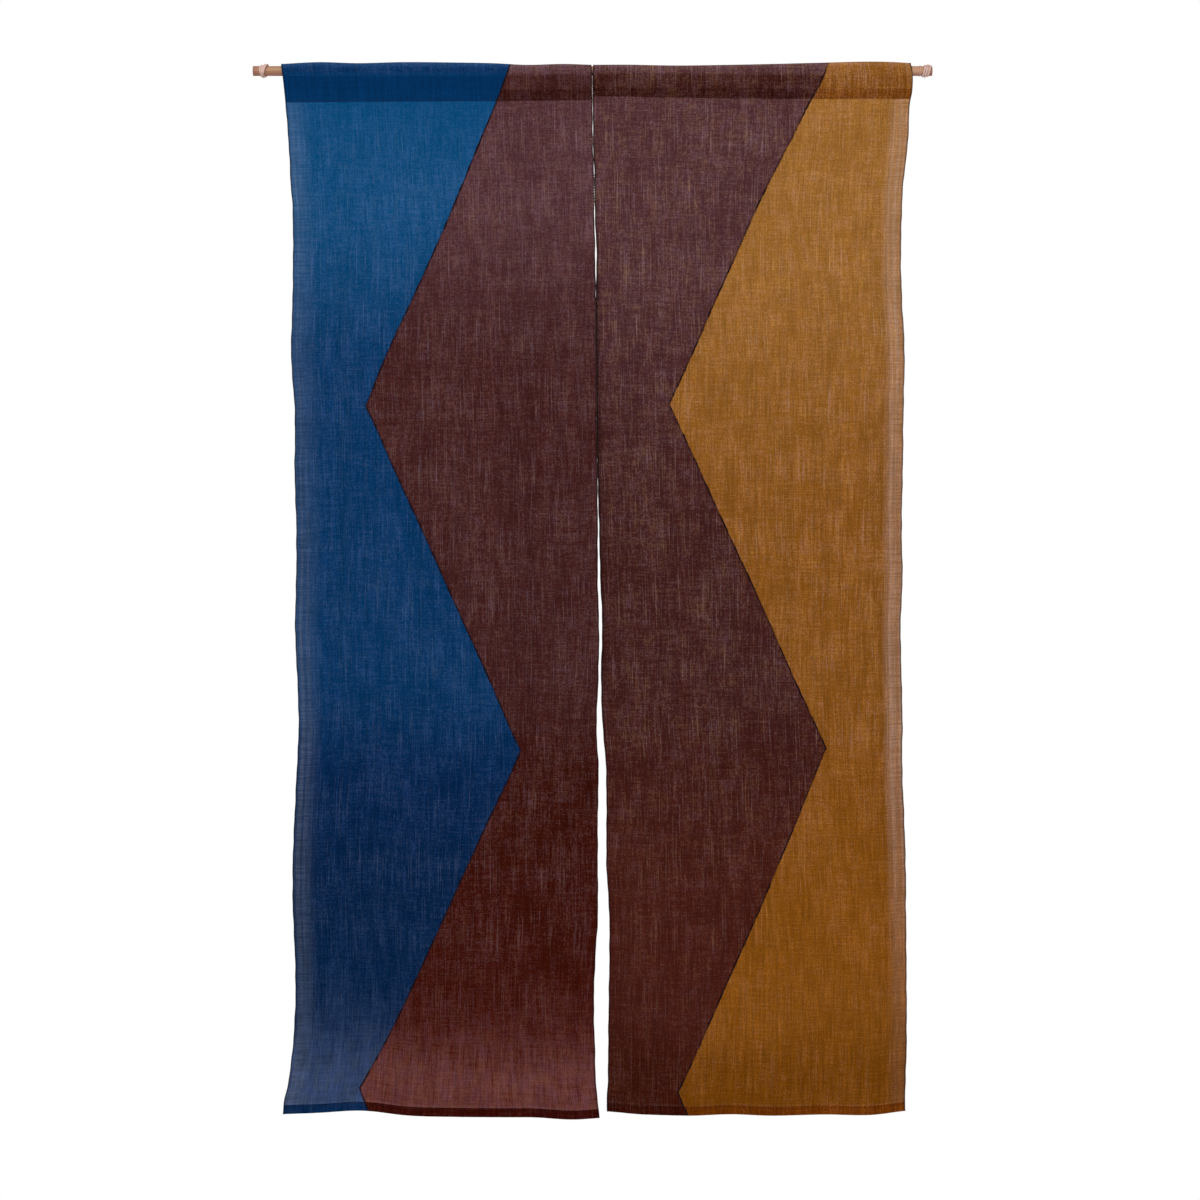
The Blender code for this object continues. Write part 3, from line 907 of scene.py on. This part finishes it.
def make_panel(cloth, panel, material, yarns):
    """One continuous length of cloth, from a flat grid that is folded, sewn and hung."""
    route = cloth_route(cloth)
    lengths = route_lengths(route)
    top = lengths[np.argmin(route[:, 1])]
    rows = len(route) - 1
    bm = bmesh.new()
    bmesh.ops.create_grid(bm, x_segments=COLUMNS, y_segments=rows, size=0.5)
    mesh = bpy.data.meshes.new(panel.name + "_cloth")
    bm.to_mesh(mesh)
    bm.free()

    flat = np.zeros(len(mesh.vertices) * 3, np.float32)
    mesh.vertices.foreach_get("co", flat)
    flat = flat.reshape(-1, 3)
    across = flat[:, 0].astype(float) + 0.5
    row = np.rint((flat[:, 1] + 0.5) * rows).astype(int)
    share = 1 - across if panel.name == "panel_right" else across  # from the outer edge to the slit
    x, y, z = hang(cloth, panel, share, route[row, 0], route[row, 1])
    mesh.vertices.foreach_set("co", np.stack([x, y, z], 1).astype(np.float32).ravel())

    corners = np.zeros(len(mesh.loops), np.int32)
    mesh.loops.foreach_get("vertex_index", corners)
    layer = mesh.uv_layers.new(name=CLOTH_MAP)
    places = np.stack([across * cloth.loom_width, top - lengths[row]], 1)
    layer.data.foreach_set("uv", places[corners].astype(np.float32).ravel())
    mesh.shade_smooth()
    mesh.update()

    piece = new_piece(panel.name + "_cloth", mesh, material)
    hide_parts(panel.name)
    edges = []
    for side, across_share, yarn in (("outer", 0, yarns[0]), ("slit", 1, yarns[1])):
        points = panel_edge_points(cloth, panel, route, across_share)
        name = f"{panel.name}_{side}_selvedge"
        edges.append(thread_piece(name, [points], cloth.selvedge, yarn))
    return piece, edges, lengths[-1]


def stitch_row(cloth, panel, drop, y, seed):
    """Short arched stitches along the panel's width, as lists of points."""
    draw = random.Random(seed)
    lines = []
    count = int(cloth.loom_width / ROW_STITCH.pitch)
    for index in range(count):
        middle = (index + 0.5 + draw.uniform(-0.12, 0.12)) / count
        half = ROW_STITCH.length * draw.uniform(0.8, 1.15) / cloth.loom_width / 2
        across = np.array([middle + half * step for step in (-1, -0.6, 0, 0.6, 1)])
        out = np.array([0.1, 1, 1.25, 1, 0.1]) * ROW_STITCH.out * math.copysign(1, y)
        level = np.full(5, drop) + draw.uniform(-0.3, 0.3) * MM
        x, depth, z = hang(cloth, panel, across, y + out, level)
        lines.append(list(zip(x, depth, z)))
    return lines


def slit_stitches(cloth, seed):
    """Stitches that cross the slit in a slanting ladder."""
    draw = random.Random(seed)
    left, right = PANELS
    lines = []
    for stretch in SLIT_STITCHES:
        drop = stretch.top
        while drop < stretch.bottom:
            lower = drop + draw.uniform(0.5, 1.3)
            bite = draw.uniform(1.4, 2.2) * MM / cloth.loom_width
            ends = []
            for panel, level in ((left, drop), (right, lower)):
                across = np.array([1 - bite, 1.0])
                x, y, z = hang(cloth, panel, across, np.full(2, -0.9 * MM), np.full(2, level * MM))
                ends.append(list(zip(x, y, z)))
            lines.append([ends[0][0], ends[0][1], ends[1][1], ends[1][0]])
            drop += stretch.pitch * draw.uniform(0.85, 1.15)
    return lines


def make_rod_wood(rod):
    """Sanded straight-grained wood, redder and darker at its cut ends, with painted shade on its underside
    and towards its left end, and painted light towards its right end.
    """
    shade = Shade("sanded_wood", roughness=0.5, specular=0.3)
    place = shade.object_place()
    grain = shade.noise(place, (60 * MM, 0.9 * MM, 0.9 * MM), detail=5, roughness=0.62)
    vein = shade.noise(place, (140 * MM, 2.6 * MM, 2.6 * MM), (3, 5, 1), detail=3)
    share = shade.ramp(shade.total((grain, 0.6), (vein, 0.5)), 0.42, 0.70)
    colour = shade.mix(share, rod.grain[:], rod.wood[:])
    blush = shade.noise(place, (30 * MM, 9 * MM, 9 * MM), (7, 2, 4), detail=2)
    colour = shade.mix(shade.ramp(blush, 0.35, 0.75, 0.0, 0.5), colour, WOOD_BLUSH)
    along, _, height = shade.parts(place)
    # Painted shade on the rod's underside
    colour = shade.mix(shade.ramp(height, -6 * MM, 0, 0.5, 0.0), colour, WOOD_UNDERSIDE_SHADE)
    # Painted light along the rod: darker towards its left end, which the key lamp lights more, and brighter
    # towards its right
    colour = shade.scale(colour, shade.ramp(along, -rod.length / 2, rod.length / 2, 0.88, 1.08))
    from_end = shade.calc("SUBTRACT", rod.length / 2, shade.calc("ABSOLUTE", along))
    colour = shade.mix(shade.ramp(from_end, 2 * MM, 13 * MM, 0.7, 0.0), colour, WOOD_END)
    roughness = shade.ramp(grain, 0.3, 0.7, 0.58, 0.42)
    return shade.finish(colour, shade.bump(grain, 0.35, 0.25 * MM), roughness=roughness)


def make_rubber(rod):
    """Pale satin rubber, dusty and a little streaked along its turns."""
    shade = Shade("pale_rubber", roughness=0.42, specular=0.35)
    place = shade.object_place()
    streak = shade.noise(place, (0.8 * MM, 6 * MM, 6 * MM), detail=2)
    patch = shade.noise(place, (4 * MM, 4 * MM, 4 * MM), (2, 8, 5), detail=2)
    share = shade.ramp(shade.total((streak, 0.5), (patch, 0.5)), 0.35, 0.65)
    colour = shade.mix(share, DUSTY_RUBBER, rod.rubber[:])
    roughness = shade.ramp(patch, 0.3, 0.7, 0.36, 0.55)
    return shade.finish(colour, shade.bump(streak, 0.25, 0.15 * MM), roughness=roughness)


def wind(bm, winding):
    """A flat rubber strip wound round the rod, its ends tapered and tucked down."""
    steps = round(STEPS_A_TURN * winding.turns)
    ring = bmesh.ops.create_circle(bm, cap_ends=True, segments=STRIP_SIDES, radius=1)["verts"]
    bmesh.ops.scale(bm, verts=ring, vec=(winding.width / 2 * MM, winding.thick / 2 * MM, 1))
    bmesh.ops.rotate(bm, verts=ring, cent=(0, 0, 0), matrix=Matrix.Rotation(math.pi / 2, 3, "X"))
    bmesh.ops.translate(bm, verts=ring, vec=(winding.start * MM, 0, winding.radius * MM))
    start_turn = Matrix.Rotation(math.radians(winding.turned), 3, "X")
    bmesh.ops.rotate(bm, verts=ring, cent=(0, 0, 0), matrix=start_turn)
    faces = list(dict.fromkeys(face for vert in ring for face in vert.link_faces))
    edges = list(dict.fromkeys(edge for vert in ring for edge in vert.link_edges))
    before = set(bm.verts) - set(ring)
    advance = winding.pitch * winding.turns * MM
    bmesh.ops.spin(
        bm,
        geom=ring + edges + faces,
        cent=(0, 0, 0),
        axis=(1, 0, 0),
        dvec=(advance / steps, 0, 0),
        angle=2 * math.pi * winding.turns,
        steps=steps,
    )
    under = (winding.radius - winding.thick / 2) * MM
    strip = [vert for vert in bm.verts if vert not in before]
    for place, vert in enumerate(strip):
        share = place // len(ring) / steps
        taper = min(1.0, 0.15 + 7 * winding.turns * min(share, 1 - share))
        middle = winding.start * MM + advance * share
        reach = math.hypot(vert.co.y, vert.co.z)
        lowered = (under + (reach - under) * taper) / reach
        vert.co.x = middle + (vert.co.x - middle) * taper
        vert.co.y *= lowered
        vert.co.z *= lowered
        vert.co.x += (winding.lean * vert.co.z + winding.sway * vert.co.y) / winding.radius


class NOREN_OT_panels(bpy.types.Operator):
    """Weave, dye, fold and hang the two panels"""

    bl_idname = "noren.hang_panels"
    bl_label = "Hang Panels"
    bl_options = {"REGISTER", "UNDO"}

    def execute(self, context):
        cloth = context.scene.noren_cloth
        blue = Dye(
            deep=cloth.blue[:],
            low=cloth.blue_low[:],
            glow=cloth.blue_glow[:],
            tint=(0.46, 0.60, 0.85),
            head=0.5,
            sleeve=0.0,
            crown=0.20,
            foot=1.30,
            veil=4.1,
            third=-0.4,
        )
        brown = Dye(
            deep=cloth.brown[:],
            low=cloth.brown_low[:],
            glow=cloth.brown_glow[:],
            tint=(1.08, 0.92, 0.96),
            head=1.0,
            sleeve=0.64,
            crown=1.0,
            foot=1.9,
            veil=2.0,
            third=2.0,
        )
        brown_right = brown._replace(low=cloth.brown_warm[:], sleeve=0.75, foot=0.80, veil=0.0, third=2.2)
        ochre = Dye(
            deep=cloth.ochre[:],
            low=cloth.ochre_low[:],
            glow=cloth.ochre_glow[:],
            tint=(1.10, 1.0, 0.92),
            head=1.0,
            sleeve=1.05,
            crown=0.40,
            foot=0.80,
            veil=0.0,
            third=2.9,
        )
        left = dyed_hemp(
            cloth,
            "hemp_blue_brown",
            (blue, brown),
            selvedge=Selvedge(True, 8, 40, 0.044, 0.60, cloth.cool_undyed[:]),
            light_falloff=LightFalloff(0.17, 0.48, 0.05, 1.15, 0.87),
            daylight=Daylight(cloth.left_warm[:], cloth.left_cool[:]),
            shift=(0, 0, 0),
        )
        right = dyed_hemp(
            cloth,
            "hemp_brown_ochre",
            (brown_right, ochre),
            selvedge=Selvedge(False, 17, 31, 0.112, 0.15, cloth.undyed[:]),
            light_falloff=LightFalloff(0.19, 0.72, 0.62, 0.80, 1.22),
            daylight=Daylight(cloth.right_warm[:], cloth.right_cool[:]),
            shift=(11, 17, 5),
        )
        dark, navy, tan = (hemp_yarn(yarn) for yarn in (BROWN_YARN, BLUE_YARN, TAN_YARN))
        for panel, material, yarns in zip(PANELS, (left, right), ((navy, dark), (tan, dark))):
            piece, edges, length = make_panel(cloth, panel, material, yarns)
        return {"FINISHED"}


class NOREN_OT_sewing(bpy.types.Operator):
    """Sew the sleeves, the hems and the top of the slit"""

    bl_idname = "noren.sew_panels"
    bl_label = "Sew Panels"
    bl_options = {"REGISTER", "UNDO"}

    def execute(self, context):
        cloth = context.scene.noren_cloth
        thread = hemp_yarn(SEWING_THREAD)
        seam = cloth.seam_depth - cloth.stitch_inset
        hem = cloth.drop - cloth.hem_depth + cloth.stitch_inset
        front, back = -0.62 * MM, 0.85 * MM
        rows = ((seam, front), (seam, back), (hem, front), (hem, back))
        for number, panel in enumerate(PANELS):
            lines = []
            for row, (drop, y) in enumerate(rows):
                lines += stitch_row(cloth, panel, drop, y, seed=10 * number + row)
            thread_piece(panel.name + "_stitches", lines, ROW_STITCH.radius, thread)
        crossing = slit_stitches(cloth, seed=31)
        thread_piece("slit_stitches", crossing, SLIT_THREAD_RADIUS, hemp_yarn(SLIT_THREAD))
        return {"FINISHED"}


class NOREN_OT_rod(bpy.types.Operator):
    """Turn and sand the rod"""

    bl_idname = "noren.turn_rod"
    bl_label = "Turn Rod"
    bl_options = {"REGISTER", "UNDO"}

    def execute(self, context):
        rod = context.scene.noren_rod
        bm = bmesh.new()
        bmesh.ops.create_cone(
            bm, cap_ends=True, segments=64, radius1=rod.radius, radius2=rod.radius, depth=rod.length
        )
        rims = [edge for edge in bm.edges if abs(edge.verts[0].co.z - edge.verts[1].co.z) < MM]
        bmesh.ops.bevel(
            bm, geom=rims, offset=0.9 * MM, affect="EDGES", segments=4, profile=0.5, material=-1
        )
        bmesh.ops.rotate(bm, verts=bm.verts, cent=(0, 0, 0), matrix=Matrix.Rotation(math.pi / 2, 3, "Y"))
        piece = bmesh_piece("rod_wood_round", bm, make_rod_wood(rod))
        piece.data.set_sharp_from_angle(angle=math.radians(50))
        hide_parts("rod")
        return {"FINISHED"}


class NOREN_OT_bands(bpy.types.Operator):
    """Wind the rubber bands round the rod's ends"""

    bl_idname = "noren.wind_bands"
    bl_label = "Wind Bands"
    bl_options = {"REGISTER", "UNDO"}

    def execute(self, context):
        rod = context.scene.noren_rod
        rubber = make_rubber(rod)
        for node in ("stopper_left", "stopper_right"):
            bm = bmesh.new()
            for winding in WINDINGS:
                if winding.node == node:
                    wind(bm, winding)
            bmesh.ops.recalc_face_normals(bm, faces=bm.faces)
            piece = bmesh_piece(node.replace("stopper", "band") + "_wound", bm, rubber)
            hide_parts(node)
        return {"FINISHED"}


class NOREN_OT_stage(bpy.types.Operator):
    """Set the floor, the light and the camera"""

    bl_idname = "noren.set_stage"
    bl_label = "Set Stage"
    bl_options = {"REGISTER", "UNDO"}

    def execute(self, context):
        stage = context.scene.noren_stage
        scene = context.scene
        scene.view_settings.view_transform = "Standard"

        bm = bmesh.new()
        bmesh.ops.create_cone(
            bm, cap_ends=True, segments=96, radius1=FLOOR_RADIUS, radius2=FLOOR_RADIUS, depth=FLOOR_THICKNESS
        )
        bmesh.ops.translate(bm, verts=bm.verts, vec=(0, 0, stage.floor_height - FLOOR_THICKNESS / 2))
        mesh = bpy.data.meshes.new("floor")
        bm.to_mesh(mesh)
        bm.free()
        shade = Shade("pale_floor", roughness=0.7, specular=0.3)
        grit = shade.noise(shade.object_place(), (0.4, 0.4, 0.4), detail=4)
        mesh.materials.append(shade.finish(shade.mix(grit, FLOOR_DARK, FLOOR_LIGHT)))
        floor = bpy.data.objects.new("floor", mesh)
        scene.collection.objects.link(floor)

        world = bpy.data.worlds.new("white_room")
        scene.world = world
        world.use_nodes = True
        tree = world.node_tree
        background = tree.nodes["Background"]
        background.inputs["Color"].default_value = (1, 1, 1, 1)
        sight = tree.nodes.new("ShaderNodeLightPath")
        power = tree.nodes.new("ShaderNodeMapRange")
        power.inputs["To Min"].default_value = stage.daylight
        power.inputs["To Max"].default_value = 1
        tree.links.new(sight.outputs["Is Camera Ray"], power.inputs["Value"])
        tree.links.new(power.outputs[0], background.inputs["Strength"])

        for lamp in LAMPS:
            area = bpy.data.lights.new(lamp.name, "AREA")
            area.size = lamp.size
            area.energy = getattr(stage, lamp.power)
            light = bpy.data.objects.new(lamp.name, area)
            scene.collection.objects.link(light)
            light.location = lamp.place
            aim = Vector(LAMPS_AIM) - Vector(lamp.place)
            light.rotation_euler = aim.to_track_quat("-Z", "Y").to_euler()

        lens = bpy.data.cameras.new("camera")
        lens.lens = lens.sensor_width * stage.distance / stage.picture_width
        camera = bpy.data.objects.new("camera", lens)
        scene.collection.objects.link(camera)
        camera.location = (CAMERA_X, -stage.distance, CAMERA_Z)
        camera.rotation_euler = (math.pi / 2, 0, 0)
        scene.camera = camera
        return {"FINISHED"}


class NOREN_PT_maker(bpy.types.Panel):
    """Lists the sizes and the steps, in working order"""

    bl_idname = "NOREN_PT_maker"
    bl_label = "Noren Curtain"
    bl_space_type = "VIEW_3D"
    bl_region_type = "UI"
    bl_category = "Noren"

    def draw(self, context):
        layout = self.layout
        for name in SETTINGS:
            settings = getattr(context.scene, name)
            box = layout.box()
            for key in type(settings).__annotations__:
                box.prop(settings, key)
        for operator in OPERATORS:
            layout.operator(operator.bl_idname)


SETTINGS = {
    "noren_cloth": NOREN_PG_cloth,
    "noren_rod": NOREN_PG_rod,
    "noren_stage": NOREN_PG_stage,
}
OPERATORS = (NOREN_OT_rod, NOREN_OT_panels, NOREN_OT_sewing, NOREN_OT_bands, NOREN_OT_stage)


def register():
    for made in (*SETTINGS.values(), *OPERATORS, NOREN_PT_maker):
        bpy.utils.register_class(made)
    for name, group in SETTINGS.items():
        setattr(bpy.types.Scene, name, PointerProperty(type=group))


def unregister():
    for name in SETTINGS:
        delattr(bpy.types.Scene, name)
    for made in reversed((*SETTINGS.values(), *OPERATORS, NOREN_PT_maker)):
        bpy.utils.unregister_class(made)


def main():
    register()
    bpy.ops.noren.turn_rod()
    bpy.ops.noren.hang_panels()
    bpy.ops.noren.sew_panels()
    bpy.ops.noren.wind_bands()
    bpy.ops.noren.set_stage()


if __name__ == "__main__":
    main()
